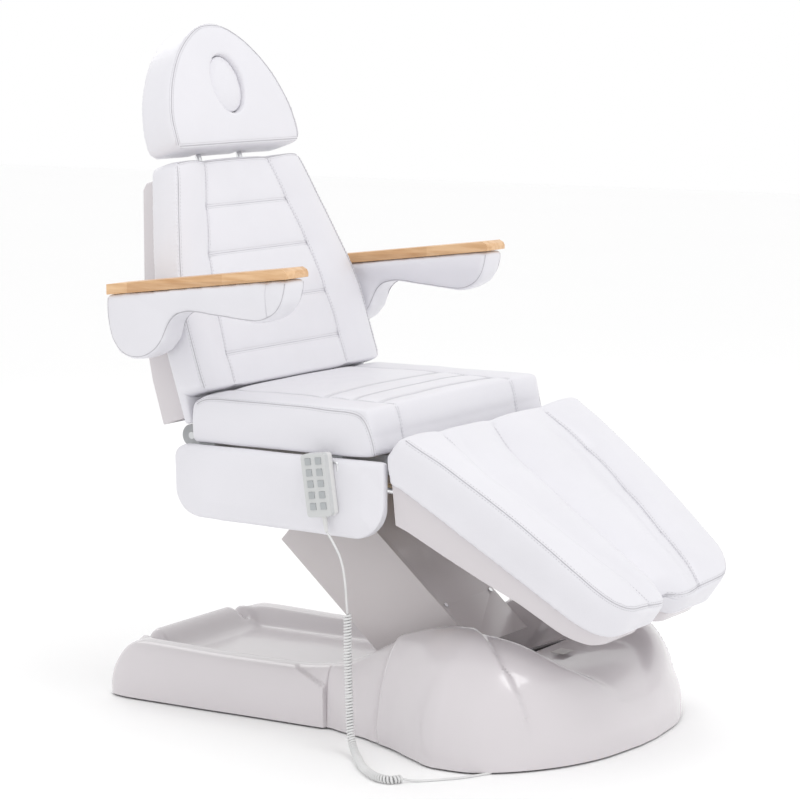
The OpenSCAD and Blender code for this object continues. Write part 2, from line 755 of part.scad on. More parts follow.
// ---------------------------------------------------------------- armrests
cap_t = 20;
cap_rise = tan(arm_tilt);
cap_back = 540;
cap_front = 124;
cap_z = 853;
function cap_top(y) = cap_z + (cap_back - y) * cap_rise;
arm_pivot_y = back_y + arm_pivot_u * lean_s + arm_pivot_n * lean_c;
arm_pivot_z = seat_z + arm_pivot_u * lean_c - arm_pivot_n * lean_s;
module armrest() {
    bed() difference() {
        slab_x([
            [546, cap_top(546) - cap_t - eps], [544, 784], [535, 746], [516, 721], [488, 711],
            [454, 714], [427, 729], [408, 752], [398, 786], [380, 803], [350, 808], [290, 804],
            [226, 798], [196, 796], [172, 802], [150, 815], [136, 834], [128, 864],
            [126, cap_top(126) - cap_t - eps]
        ], arm_w, 6);
        // Blind bore from the inner side.
        translate([-arm_w / 2, arm_pivot_y, arm_pivot_z]) rod_x(arm_pin_d + 2 * play, 2 * pin_reach + 4);
    }
}
module arm_cap() {
    bed() slab_x([
        [cap_back, cap_top(cap_back) - cap_t], [cap_back, cap_top(cap_back)],
        [cap_front + 12, cap_top(cap_front + 12)], [cap_front + 3, cap_top(cap_front) - 6],
        [cap_front, cap_top(cap_front) - 12], [cap_front, cap_top(cap_front) - cap_t]
    ], arm_w + 4, 1.5);
}
arm_mid = arm_x + arm_w / 2;
module armrest_left() {
    color(white) translate([arm_mid, 0, 0]) armrest();
}
module armrest_right() {
    mirror([1, 0, 0]) armrest_left();
}
module arm_cap_left() {
    color(beech) translate([arm_mid, 0, 0]) arm_cap();
}
module arm_cap_right() {
    color(beech) translate([-arm_mid, 0, 0]) arm_cap();
}

// ---------------------------------------------------------------- handset
hs_y = 85;
hs_z = 500;
hs_back = -apron_in - apron_t - 6;
hs_split = 13;
// Frame of the handset: Z up its length, -X out of its keypad.
module hs() {
    bed() translate([hs_back, hs_y, hs_z]) rotate([-hs_tilt, 0, 0]) children();
}
// The handset's outline extruded from x0 to x1 behind the keypad's side.
module hs_slab(x0, x1, t = 0) {
    translate([-x1, 0, 0]) rotate([90, 0, 90]) linear_extrude(x1 - x0)
        offset(7 - t) offset(-7) square([hs_w, hs_h], center = true);
}
key_w = 12.6;
key_rows = 5;
key_pitch = 21;
key_x = 11.5;
key_z0 = 45;
function key_pos(i) = [(i % 2 == 0 ? key_x : -key_x), key_z0 - key_pitch * floor(i / 2)];
module handset_back() {
    color(grey) {
        hs() difference() {
            hs_slab(0, hs_split);
            hs_slab(2.5, hs_split + 1, 2.5);
            translate([-hs_split / 2 - 1, 0, -hs_h / 2]) cylinder(d = 7, h = 12, center = true);
        }
        // Lug that hangs on the wire hook.
        bed() difference() {
            translate([hs_back - 0.5, hs_y - 8, 534]) cube([5.5, 14, 16]);
            translate([hs_back + 3.5, hs_y - 20, 542]) rotate([-90, 0, 0]) cylinder(d = 4.4, h = 40);
            translate([hs_back + 1.3, hs_y - 20, 530]) cube([4.4, 40, 12]);
        }
    }
}
module handset_front() {
    color("#dadbdb") hs() difference() {
        hs_slab(hs_split + 0.05, hs_t);
        hs_slab(hs_split - 1, hs_t - 3, 2.5);
        for (i = [0:2 * key_rows - 1]) let (p = key_pos(i))
            translate([-hs_t - 1, p[0] - key_w / 2 - 0.2, p[1] - key_w / 2 - 0.2])
                cube([6, key_w + 0.4, key_w + 0.4]);
    }
}
module key(i) {
    p = key_pos(i);
    color("#c3c7c8") hs() translate([0, p[0], p[1]]) {
        translate([-hs_t - 1.4, -key_w / 2, -key_w / 2]) cube([5.4, key_w, key_w]);
        translate([-hs_t + 3.8, -key_w / 2 - 1, -key_w / 2 - 1]) cube([1.2, key_w + 2, key_w + 2]);
    }
}
module handset_board() {
    color("#3f7f52") hs() difference() {
        hs_slab(hs_split + 1, hs_split + 2.6, 3);
        translate([-hs_split - 4, 0, -hs_h / 2]) cube([10, 12, 12], center = true);
    }
}
relief_l = 30;
module strain_relief() {
    color(grey) hs() translate([-hs_split / 2 - 1, 0, -hs_h / 2 + 2.5]) rotate([180, 0, 0]) {
        translate([0, 0, -3]) cylinder(d = 6.9, h = 8);
        translate([0, 0, 2.6]) cylinder(d1 = 10, d2 = 6.4, h = relief_l);
    }
}
hook_d = 4;
module handset_hook() {
    x = -apron_in - apron_t - 2.5;
    color(chrome) bed() {
        translate([x, 55, 500]) cylinder(d = hook_d, h = 36);
        translate([x, 55, 502]) rotate([0, 90, 0]) cylinder(d = hook_d, h = 2.5);
        translate([x, 61, 542]) rotate([-90, 0, 0]) cylinder(d = hook_d, h = 32);
        translate([x, 61, 536]) rotate([0, 90, 0]) rotate([0, 0, 180])
            rotate_extrude(angle = 90) translate([6, 0]) circle(d = hook_d);
    }
}

// ---------------------------------------------------------------- cord
relief_len = hs_h / 2 + relief_l + 0.1;
cord_x = hs_back - hs_split / 2 - 1;
lead_top = [cord_x, hs_y - relief_len * sin(hs_tilt), hs_z - relief_len * cos(hs_tilt)];
coil_top = [-356, 22, 262];
// Routes by hand: the thin lead, the coiled stretch down to the floor, and the tail.
lead_route = [lead_top, [-350, 65, 404], [-352, 53, 389], [-353, 40, 368], [-354, 32, 344],
              [-355, 27, 316], [-356, 24, 288], coil_top + [0, 0, 0.3]];
coil_route = [coil_top, [-358, 20, 215], [-360, 18, 160], [-362, 15, 110], [-366, 11, 70],
              [-373, 4, 40], [-386, -10, 20], [-408, -33, 10], [-436, -58, 8.2], [-466, -88, 8.2],
              [-490, -120, 8.2], [-500, -146, 8.2], [-497, -164, 8.2], [-482, -174, 8.2]];
tail_route = [[-482, -174, 8.2], [-474, -182, 5], [-462, -196, 2.6], [-446, -214, 2.4],
              [-426, -232, 2.4], [-404, -250, 2.4], [-384, -262, 2.4], [-364, -272, 2.4],
              [-346, -281, 2.6]];
function unit(v) = v / norm(v);
function tangent(p, i) = unit(p[min(i + 1, len(p) - 1)] - p[max(i - 1, 0)]);
module tube(p, d, sides) {
    rings = len(p);
    points = [
        for (i = [0:rings - 1])
            let (t = tangent(p, i), a = unit(cross(t, [0.31, 0.87, 0.38])), b = cross(t, a))
            for (j = [0:sides - 1])
                p[i] + d / 2 * (cos(j * 360 / sides) * a + sin(j * 360 / sides) * b)
    ];
    faces = concat(
        [[for (j = [0:sides - 1]) j]],
        [for (i = [0:rings - 2], j = [0:sides - 1]) let (k = (j + 1) % sides) each
            [[i * sides + j, (i + 1) * sides + j, (i + 1) * sides + k],
             [i * sides + j, (i + 1) * sides + k, i * sides + k]]],
        [[for (j = [sides - 1:-1:0]) (rings - 1) * sides + j]]
    );
    polyhedron(points, faces);
}
module cord_lead() {
    color(white) bed() tube(lead_route, cord_d, 8);
}
module cord_coil() {
    color(white) bed() tube(coil_route, coil_d, 12);
}
module cord_tail() {
    color(white) bed() tube(tail_route, cord_d, 8);
}

base_shell();
base_frame();
levelling_feet();
foot_nuts();
lift_bracket();
base_pins();
control_box();
mains_inlet();
rating_plate();
lift_arm();
column_cover();
cover_screws();
level_link();
lift_actuator_body();
lift_actuator_rod();
seat_carrier();
carrier_pins();
seat_board();
seat_cushion();
apron_left();
apron_right();
handset_hook();
leg_actuator_body();
leg_actuator_rod();
back_actuator_body();
back_actuator_rod();
back_frame();
back_board();
back_cushion();
back_shell();
rod_guides();
headrest_rods();
rod_clamps();
headrest_board();
headrest_cushion();
face_plug();
leg_frame();
leg_shell();
leg_cushion();
armrest_left();
armrest_right();
arm_cap_left();
arm_cap_right();
handset_back();
handset_front();
handset_board();
strain_relief();
key(0);  // handset_button_1
key(1);  // handset_button_2
key(2);  // handset_button_3
key(3);  // handset_button_4
key(4);  // handset_button_5
key(5);  // handset_button_6
key(6);  // handset_button_7
key(7);  // handset_button_8
key(8);  // handset_button_9
key(9);  // handset_button_10
cord_lead();
cord_coil();
cord_tail();
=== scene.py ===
"""Looks of an electric facial treatment bed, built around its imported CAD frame."""
import math

import bmesh
import bpy
import numpy as np
from mathutils import Matrix, Vector
from mathutils.bvhtree import BVHTree


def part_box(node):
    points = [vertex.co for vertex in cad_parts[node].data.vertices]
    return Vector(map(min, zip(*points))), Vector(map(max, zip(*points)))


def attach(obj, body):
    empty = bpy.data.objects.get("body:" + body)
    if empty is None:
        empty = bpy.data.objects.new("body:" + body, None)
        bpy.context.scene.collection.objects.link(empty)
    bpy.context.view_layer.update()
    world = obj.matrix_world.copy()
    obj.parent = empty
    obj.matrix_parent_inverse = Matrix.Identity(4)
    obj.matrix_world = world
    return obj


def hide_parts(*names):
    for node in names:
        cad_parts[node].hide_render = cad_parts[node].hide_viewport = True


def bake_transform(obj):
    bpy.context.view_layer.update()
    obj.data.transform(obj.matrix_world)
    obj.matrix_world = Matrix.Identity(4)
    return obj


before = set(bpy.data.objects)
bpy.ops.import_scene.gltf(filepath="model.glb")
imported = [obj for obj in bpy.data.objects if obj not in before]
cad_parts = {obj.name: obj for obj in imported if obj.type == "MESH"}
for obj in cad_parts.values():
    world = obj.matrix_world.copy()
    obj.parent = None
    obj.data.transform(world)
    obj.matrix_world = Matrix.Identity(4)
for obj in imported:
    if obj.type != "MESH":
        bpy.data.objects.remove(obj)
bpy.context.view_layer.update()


# ------------------------------------------------------------------ places
class Place:
    """A frame turned about X: its origin in metres and its turn in degrees."""

    def __init__(self, origin, turn=0.0):
        a = math.radians(turn)
        self.origin = np.array(origin, float)
        self.axes = np.array([[1, 0, 0],
                              [0, math.cos(a), -math.sin(a)],
                              [0, math.sin(a), math.cos(a)]])

    def out(self, local):
        return np.asarray(local, float) @ self.axes.T + self.origin

    def into(self, world):
        return (np.asarray(world, float) - self.origin) @ self.axes


SEAT_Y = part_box("seat_cushion")[0].y
SEAT_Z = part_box("seat_cushion")[1].z
LEAN = -17.5  # degrees the back leans at rest
DROOP = 36.1  # degrees the leg rest hangs below flat at rest
LEG_TOP = 0.112  # height of the leg rest's top in its own frame
BED = Place((0, SEAT_Y, 0))
BACK = Place((0, SEAT_Y + 0.376, SEAT_Z), LEAN)
HEAD = Place(BACK.out((0, -0.020, 0.478)), LEAN)
LEG = Place((0, SEAT_Y + 0.0136, SEAT_Z - LEG_TOP), DROOP)


# ------------------------------------------------------------------ camera
SENSOR, LENS = 36, 126.554  # millimetres
CAMERA_AT = (-4.632874, -2.763624, 1.369044)  # from the floor below the seat's front edge
CAMERA_DOWN, CAMERA_TURN = 7.87593, -58.01656  # degrees


def camera():
    """The photo's view, fitted to edges of the seat, back, leg rest and base."""
    data = bpy.data.cameras.new("camera")
    data.sensor_width = SENSOR
    data.lens = LENS
    cam = bpy.data.objects.new("camera", data)
    bpy.context.collection.objects.link(cam)
    cam.location = (CAMERA_AT[0], SEAT_Y + CAMERA_AT[1], CAMERA_AT[2])
    cam.rotation_euler = (math.radians(90 - CAMERA_DOWN), 0, math.radians(CAMERA_TURN))
    bpy.context.scene.camera = cam


# --------------------------------------------------------------- materials
NOISE_LOW, NOISE_HIGH = 0.3, 0.7  # the part of a noise's range that is put to use


class Paint:
    """A Principled material with helpers for procedural colour, roughness and bump."""

    def __init__(self, name, color, rough, **sockets):
        self.material = bpy.data.materials.new(name)
        self.material.use_nodes = True
        self.nodes = self.material.node_tree.nodes
        self.links = self.material.node_tree.links
        self.shader = self.nodes["Principled BSDF"]
        self.color = color
        self.shader.inputs["Base Color"].default_value = (*color, 1)
        self.shader.inputs["Roughness"].default_value = rough
        for key, value in sockets.items():
            self.shader.inputs[key.replace("_", " ")].default_value = value
        self.where = self.nodes.new("ShaderNodeTexCoord").outputs["Object"]
        self.bumps = None

    def stretched(self, scale):
        mapping = self.nodes.new("ShaderNodeMapping")
        mapping.inputs["Scale"].default_value = scale
        self.links.new(self.where, mapping.inputs["Vector"])
        return mapping.outputs["Vector"]

    def noise(self, scale, detail=3.0, stretch=None):
        node = self.nodes.new("ShaderNodeTexNoise")
        node.inputs["Scale"].default_value = scale
        node.inputs["Detail"].default_value = detail
        where = self.stretched(stretch) if stretch else self.where
        self.links.new(where, node.inputs["Vector"])
        return node.outputs["Fac"]

    def cells(self, scale):
        node = self.nodes.new("ShaderNodeTexVoronoi")
        node.feature = "F1"
        node.inputs["Scale"].default_value = scale
        self.links.new(self.where, node.inputs["Vector"])
        return node.outputs["Distance"]

    def between(self, value, low, high):
        node = self.nodes.new("ShaderNodeMapRange")
        for key, number in (("From Min", NOISE_LOW), ("From Max", NOISE_HIGH),
                            ("To Min", low), ("To Max", high)):
            node.inputs[key].default_value = number
        self.links.new(value, node.inputs["Value"])
        return node.outputs["Result"]

    def ramp(self, value, stops):
        node = self.nodes.new("ShaderNodeValToRGB")
        ramp = node.color_ramp
        while len(ramp.elements) < len(stops):
            ramp.elements.new(0.5)
        for element, (place, color) in zip(ramp.elements, stops):
            element.position = place
            element.color = (*color, 1)
        self.links.new(value, node.inputs["Fac"])
        return node.outputs["Color"]

    def tinted(self, value, share):
        """The colour, darker by share where value is low."""
        dark = tuple(c * (1 - share) for c in self.color)
        tint = self.ramp(value, [(NOISE_LOW, dark), (NOISE_HIGH, self.color)])
        self.links.new(tint, self.shader.inputs["Base Color"])
        return self

    def rough(self, value, low, high):
        self.links.new(self.between(value, low, high), self.shader.inputs["Roughness"])
        return self

    def bump(self, value, distance, strength):
        node = self.nodes.new("ShaderNodeBump")
        node.inputs["Distance"].default_value = distance
        node.inputs["Strength"].default_value = strength
        self.links.new(value, node.inputs["Height"])
        if self.bumps:
            self.links.new(self.bumps, node.inputs["Normal"])
        self.bumps = node.outputs["Normal"]
        self.links.new(self.bumps, self.shader.inputs["Normal"])
        return self


def leatherette():
    p = Paint("white_leatherette", (0.765, 0.757, 0.797), 0.4, Coat_Weight=0.12,
              Coat_Roughness=0.3, Sheen_Weight=0.08)
    p.tinted(p.noise(7), 0.035)
    p.rough(p.noise(26), 0.34, 0.47)
    p.bump(p.noise(42, 4), 0.0006, 0.35)
    p.bump(p.cells(640), 0.0002, 0.5)
    return p.material


def moulded(name, color, rough=0.22, coat=0.5):
    p = Paint(name, color, rough, Coat_Weight=coat, Coat_Roughness=0.08)
    p.tinted(p.noise(4), 0.03)
    p.rough(p.noise(18), rough - 0.01, rough + 0.04)
    p.bump(p.noise(150, 2), 0.00004, 0.3)
    return p.material


def metal(name, color, rough):
    p = Paint(name, color, rough, Metallic=1.0)
    p.tinted(p.noise(30), 0.08)
    p.rough(p.noise(60), rough * 0.7, rough * 1.4)
    p.bump(p.noise(240, 3), 0.00005, 0.4)
    return p.material


def painted(name, color):
    p = Paint(name, color, 0.42)
    p.tinted(p.noise(25), 0.12)
    p.rough(p.noise(45), 0.35, 0.55)
    p.bump(p.noise(520, 2), 0.0001, 0.6)
    return p.material


def wood(name, light, dark):
    """Grain along Y, with blocks of slightly different tone end to end."""
    rough = 0.42
    p = Paint(name, light, rough, Coat_Weight=0.25, Coat_Roughness=0.25)
    bands = p.noise(3.0, 6, (30, 4, 40))
    pores = p.noise(18, 3, (14, 1.2, 14))
    blocks = p.nodes.new("ShaderNodeTexVoronoi")
    blocks.voronoi_dimensions = "1D"
    blocks.inputs["Scale"].default_value = 5.2
    split = p.nodes.new("ShaderNodeSeparateXYZ")
    p.links.new(p.where, split.inputs["Vector"])
    p.links.new(split.outputs["Y"], blocks.inputs["W"])
    shade = p.nodes.new("ShaderNodeSeparateColor")
    p.links.new(blocks.outputs["Color"], shade.inputs["Color"])
    mix = p.nodes.new("ShaderNodeMix")
    mix.data_type = "RGBA"
    mix.blend_type = "MULTIPLY"
    mix.inputs["Factor"].default_value = 1.0
    p.links.new(p.ramp(bands, [(0.35, dark), (0.62, light)]), mix.inputs["A"])
    tone = p.ramp(shade.outputs["Red"], [(0.2, (0.86, 0.80, 0.74)), (0.8, (1, 1, 1))])
    p.links.new(tone, mix.inputs["B"])
    p.links.new(mix.outputs["Result"], p.shader.inputs["Base Color"])
    p.rough(pores, rough - 0.06, rough + 0.1)
    p.bump(pores, 0.0002, 0.4)
    return p.material


def plywood():
    p = Paint("plywood", (0.62, 0.45, 0.27), 0.6)
    grain = p.ramp(p.noise(6, 5, (2, 14, 30)),
                   [(0.35, (0.45, 0.31, 0.17)), (0.65, (0.68, 0.50, 0.31))])
    p.links.new(grain, p.shader.inputs["Base Color"])
    p.rough(p.noise(40), 0.5, 0.7)
    p.bump(p.noise(90, 4, (1, 8, 8)), 0.0003, 0.5)
    return p.material


def plain(name, color, rough, bump=0.0001):
    p = Paint(name, color, rough)
    p.tinted(p.noise(30), 0.08)
    p.rough(p.noise(50), rough * 0.85, min(1, rough * 1.2))
    p.bump(p.noise(300, 3), bump, 0.5)
    return p.material


PAINTS = {
    "white_leatherette": leatherette(),
    "moulded_shell": moulded("moulded_shell", (0.66, 0.625, 0.645)),
    # column_plastic: darker and browner than the shell, partly the cover's own light grey and
    # partly painted shade for the shadow its front face lies in under the leg rest.
    "column_plastic": moulded("column_plastic", (0.63, 0.59, 0.595), 0.3, 0.3),
    "painted_steel": painted("painted_steel", (0.42, 0.43, 0.44)),
    "zinc_steel": metal("zinc_steel", (0.66, 0.67, 0.68), 0.38),
    "chrome": metal("chrome", (0.82, 0.83, 0.84), 0.12),
    "plywood": plywood(),
    "beech": wood("beech", (0.80, 0.53, 0.30), (0.66, 0.39, 0.19)),
    "motor_housing": plain("motor_housing", (0.035, 0.035, 0.038), 0.5),
    "foot_rubber": plain("foot_rubber", (0.03, 0.03, 0.03), 0.75, 0.0003),
    "plate_film": plain("plate_film", (0.50, 0.48, 0.47), 0.35),
    "handset_grey": moulded("handset_grey", (0.72, 0.72, 0.71), 0.34, 0.2),
    "handset_face": moulded("handset_face", (0.60, 0.61, 0.61), 0.4, 0.1),
    "circuit_board": plain("circuit_board", (0.03, 0.22, 0.08), 0.45),
    "key_grey": plain("key_grey", (0.42, 0.44, 0.45), 0.45),
    "cord_sheath": plain("cord_sheath", (0.74, 0.74, 0.74), 0.42),
    # thread: grey stitches, partly their own colour and partly painted shade, so that their rows
    # add to the dark line along each seam.
    "thread": plain("thread", (0.50, 0.49, 0.52), 0.6),
    # seam and lane: the welts' greys, painted shade for the dark line in each seam's crease,
    # which is too narrow for the cushions' mesh; lane is the paler one.
    "seam": plain("seam", (0.53, 0.52, 0.55), 0.6),
    "lane": plain("lane", (0.66, 0.652, 0.69), 0.5),
}


def dress_cad():
    """Every CAD node that stays gets the better material of its slot."""
    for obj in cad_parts.values():
        for slot in obj.material_slots:
            name = slot.material.name.split(".")[0] if slot.material else ""
            for key, material in PAINTS.items():
                if name == key or name.endswith(key):
                    slot.material = material


# ------------------------------------------------------------------ meshes
def new_object(name, points, faces, paint, body=None):
    mesh = bpy.data.meshes.new(name)
    mesh.from_pydata(np.asarray(points).tolist(), [], faces)
    mesh.update()
    return placed(name, mesh, paint, body)


def placed(name, mesh, paint, body=None, node=None):
    """The mesh as a visible piece: smooth, painted, riding its body, in place of the node."""
    obj = bpy.data.objects.new(name, mesh)
    mesh.name = name
    bpy.context.collection.objects.link(obj)
    mesh.materials.clear()
    mesh.materials.append(PAINTS[paint])
    mesh.polygons.foreach_set("use_smooth", [True] * len(mesh.polygons))
    if body:
        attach(obj, body)
    if node:
        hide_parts(node)
    return obj


def points_of(mesh):
    co = np.empty(len(mesh.vertices) * 3)
    mesh.vertices.foreach_get("co", co)
    return co.reshape(-1, 3)


def normals_of(mesh):
    no = np.empty(len(mesh.vertices) * 3)
    mesh.vertices.foreach_get("normal", no)
    return no.reshape(-1, 3)


def set_points(mesh, co):
    mesh.vertices.foreach_set("co", np.ascontiguousarray(co).ravel())
    mesh.update()


WELD = 0.00001  # corners closer than this are one
FLAT = math.radians(0.5)  # faces that meet within this angle are one


def welded(node):
    """A copy of a CAD node's mesh with its split corners joined."""
    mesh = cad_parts[node].data.copy()
    bm = bmesh.new()
    bm.from_mesh(mesh)
    bmesh.ops.remove_doubles(bm, verts=bm.verts, dist=WELD)
    bmesh.ops.dissolve_limit(bm, angle_limit=FLAT, verts=bm.verts, edges=bm.edges)
    bm.to_mesh(mesh)
    bm.free()
    return mesh


def modified(mesh, kind, **settings):
    """The mesh after one modifier."""
    work = bpy.data.objects.new("work", mesh)
    bpy.context.collection.objects.link(work)
    modifier = work.modifiers.new("work", kind)
    for key, value in settings.items():
        setattr(modifier, key, value)
    depsgraph = bpy.context.evaluated_depsgraph_get()
    result = bpy.data.meshes.new_from_object(work.evaluated_get(depsgraph))
    bpy.data.objects.remove(work)
    return result


def softened(node, body, paint, radius, name=None):
    """A rigid CAD shape with its sharp edges rounded, in place of the node."""
    mesh = modified(welded(node), "BEVEL", width=radius, segments=3, limit_method="ANGLE",
                    angle_limit=math.radians(32), use_clamp_overlap=True,
                    harden_normals=False, miter_outer="MITER_ARC")
    placed(name or node + "_finish", mesh, paint, body, node)
    mesh.set_sharp_from_angle(angle=math.radians(38))


def relaxed(co, edges, passes, share=0.5):
    """Points moved towards the mean of their neighbours, by a share of the way each pass."""
    a, b, n = edges[:, 0], edges[:, 1], len(co)
    count = np.bincount(a, minlength=n) + np.bincount(b, minlength=n)
    for _ in range(passes):
        mean = np.stack([np.bincount(a, co[b, k], n) + np.bincount(b, co[a, k], n)
                         for k in range(3)], 1)
        co = co + share * (mean / count[:, None] - co)
    return co


def curve_through(points, step):
    """A smooth line through a few points (Catmull-Rom), its own points about step apart."""
    p = np.asarray(points, float)
    out = []
    for i in range(len(p) - 1):
        p0, p1, p2, p3 = p[max(i - 1, 0)], p[i], p[i + 1], p[min(i + 2, len(p) - 1)]
        n = max(2, int(np.linalg.norm(p2 - p1) / step))
        for k in range(n):
            t = k / n
            out.append(0.5 * (2 * p1 + (p2 - p0) * t
                              + (2 * p0 - 5 * p1 + 4 * p2 - p3) * t ** 2
                              + (3 * p1 - p0 - 3 * p2 + p3) * t ** 3))
    out.append(p[-1])
    return np.array(out)


ASKEW = (0.31, 0.87, 0.38)  # a direction that no line here starts in
POINTED_END = 0.35  # radius of a pointed tube's ends, as a share


def tube_mesh(line, radius, sides, base=0, pointed=False):
    """Points and faces of a round tube along a line, capped at both ends."""
    p = np.asarray(line, float)
    t = np.gradient(p, axis=0)
    t /= np.linalg.norm(t, axis=1)[:, None]
    side = np.cross(t[0], ASKEW)
    angles = 2 * math.pi * np.arange(sides) / sides
    points, n = [], len(p)
    for i in range(n):
        side = side - (side @ t[i]) * t[i]
        side /= np.linalg.norm(side)
        up = np.cross(t[i], side)
        r = radius * (POINTED_END if pointed and i in (0, n - 1) else 1)
        points.append(p[i] + r * (np.cos(angles)[:, None] * side
                                  + np.sin(angles)[:, None] * up))
    points = np.concatenate(points)
    faces = [[base + j for j in reversed(range(sides))],
             [base + (n - 1) * sides + j for j in range(sides)]]
    for i in range(n - 1):
        for j in range(sides):
            k = (j + 1) % sides
            faces.append([base + i * sides + j, base + i * sides + k,
                          base + (i + 1) * sides + k, base + (i + 1) * sides + j])
    return points, faces


def tubes(name, lines, radius, paint, body, sides, pointed=False):
    """Many round tubes as one piece."""
    points, faces, base = [], [], 0
    for line in lines:
        p, f = tube_mesh(line, radius, sides, base, pointed)
        points.append(p)
        faces += f
        base += len(p)
    new_object(name, np.concatenate(points), faces, paint, body)


# ------------------------------------------------------------------- cords
CORD = 0.0045  # diameter of the wire
CORD_SIDES = 8
CORD_STEP = 0.004
COIL_RADIUS = 0.00575
COIL_PITCH = 0.0057
COIL_STEP = 0.002
TURN_POINTS = 14
RELIEF = 0.059 + 0.030 + 0.0001
TILT = math.radians(8)
LEAD_TOP = (-0.3485, 0.085 - RELIEF * math.sin(TILT), 0.5 - RELIEF * math.cos(TILT))
# The routes of part.scad, in metres.
LEAD = [LEAD_TOP, (-0.350, 0.065, 0.404), (-0.352, 0.053, 0.389), (-0.353, 0.040, 0.368),
        (-0.354, 0.032, 0.344), (-0.355, 0.027, 0.316), (-0.356, 0.024, 0.288),
        (-0.356, 0.022, 0.2623)]
COIL = [(-0.356, 0.022, 0.262), (-0.358, 0.020, 0.215), (-0.360, 0.018, 0.160),
        (-0.362, 0.015, 0.110), (-0.366, 0.011, 0.070), (-0.373, 0.004, 0.040),
        (-0.386, -0.010, 0.020), (-0.408, -0.033, 0.010), (-0.436, -0.058, 0.0082),
        (-0.466, -0.088, 0.0082), (-0.490, -0.120, 0.0082), (-0.500, -0.146, 0.0082),
        (-0.497, -0.164, 0.0082), (-0.482, -0.174, 0.0082)]
TAIL = [(-0.482, -0.174, 0.0082), (-0.474, -0.182, 0.005), (-0.462, -0.196, 0.0026),
        (-0.446, -0.214, 0.0024), (-0.426, -0.232, 0.0024), (-0.404, -0.250, 0.0024),
        (-0.384, -0.262, 0.0024), (-0.364, -0.272, 0.0024), (-0.346, -0.281, 0.0026)]
COIL_SPLIT = 3  # the route's point where the hanging coil ends and the loose one starts


def helix(route):
    """The wire of a curly cord around a route."""
    axis = curve_through(route, COIL_STEP)
    along = np.concatenate([[0], np.cumsum(np.linalg.norm(np.diff(axis, axis=0), axis=1))])
    n = int(along[-1] / COIL_PITCH * TURN_POINTS)
    s = np.linspace(0, along[-1], n)
    centre = np.stack([np.interp(s, along, axis[:, k]) for k in range(3)], 1)
    t = np.gradient(centre, axis=0)
    t /= np.linalg.norm(t, axis=1)[:, None]
    wire, side = [], np.cross(t[0], ASKEW)
    for i in range(n):
        side = side - (side @ t[i]) * t[i]
        side /= np.linalg.norm(side)
        a = 2 * math.pi * s[i] / COIL_PITCH
        wire.append(centre[i] + COIL_RADIUS * (math.cos(a) * side
                                               + math.sin(a) * np.cross(t[i], side)))
    return np.array(wire)


def cord_piece(name, line, node):
    points, faces = tube_mesh(line, CORD / 2, CORD_SIDES)
    obj = new_object(name, points, faces, "cord_sheath")
    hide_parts(node)
    return obj


def cords():
    """The handset's cord, in four pieces that follow on from one another: the lead, two pieces of
    coil, and the tail, which rides the base.
    """
    lead = BED.out(curve_through(LEAD, CORD_STEP))
    obj = cord_piece("lead", lead, "cord_lead")
    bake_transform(obj)
    upper, lower = helix(COIL[:COIL_SPLIT + 1]), helix(COIL[COIL_SPLIT:])
    upper, lower = BED.out(upper), BED.out(lower)
    obj = cord_piece("coil_upper", upper, "cord_coil")
    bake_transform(obj)
    obj = cord_piece("coil_lower", lower,
                     "cord_coil")
    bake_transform(obj)
    tail = BED.out(curve_through(TAIL, CORD_STEP))
    obj = cord_piece("tail", tail, "cord_tail")
    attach(obj, "base")


# -------------------------------------------------------------- upholstery
SEAM_STEP = 0.012
WELT_STEP = 0.006
# A seam no deeper than this is a soft groove, with no welt and no stitches.
GROOVE_DEPTH = 0.0016
# Welts take the seam or lane grey, painted shade for the crease along each seam.
LANE_REACH = 0.0105  # a seam with this reach or more has the paler lane as its welt
WELT_RADIUS = {"seam": 0.0010, "lane": 0.0009}
WELT_SIDES, STITCH_SIDES = 6, 4
STITCH_RADIUS = 0.00038
STITCH_ASIDE = 0.0042  # from the seam to each row of stitches
STITCH_POINTS = np.array([-0.0017, -0.0006, 0.0006, 0.0017])
PROUD = 0.0002  # how far welts and stitches stand off the cover
FAR = 9.0


def line_distance(co, line):
    """Distance of each point from a line of straight pieces."""
    best = np.full(len(co), FAR)
    for p, q in zip(line[:-1], line[1:]):
        d = q - p
        t = np.clip((co - p) @ d / (d @ d), 0, 1)
        best = np.minimum(best, np.linalg.norm(co - p - t[:, None] * d, axis=1))
    return best


def ripple(co, size, seed):
    """A smooth field between -1 and 1, for the slight unevenness of a stuffed cover."""
    rng = np.random.default_rng(seed)
    total = np.zeros(len(co))
    for _ in range(7):
        way = rng.normal(size=3)
        wave = way / np.linalg.norm(way) * 2 * math.pi / (size * rng.uniform(0.7, 1.6))
        total += np.sin(co @ wave + rng.uniform(0, 6.28))
    return total / 5


